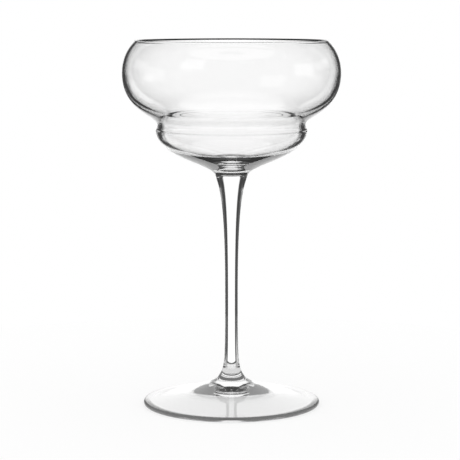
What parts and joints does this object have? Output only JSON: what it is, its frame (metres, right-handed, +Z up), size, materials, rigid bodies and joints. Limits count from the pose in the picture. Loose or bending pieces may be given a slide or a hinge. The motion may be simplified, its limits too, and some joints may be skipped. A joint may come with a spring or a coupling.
{
  "type": "margarita glass",
  "caption": "Clear stem glass for cocktails: a wide rounded upper bowl over a narrower lower bowl, on a slim flared stem and a round disc foot.",
  "frame": {"origin": "centre of the foot's standing ring, on the surface that the glass stands on", "axes": "+Z up along the stem, which is the axis of every piece; +Y away from the viewer of the picture"},
  "size_m": [0.1022, 0.1022, 0.172],
  "materials": {
    "blown_glass": "clear, blown and fire-polished",
    "drawn_glass": "clear, drawn and fire-polished",
    "spun_glass": "clear, spun and fire-polished"
  },
  "bodies": {
    "root": {"bowl": "blown_glass", "stem": "drawn_glass", "foot": "spun_glass"}
  },
  "joints": []
}
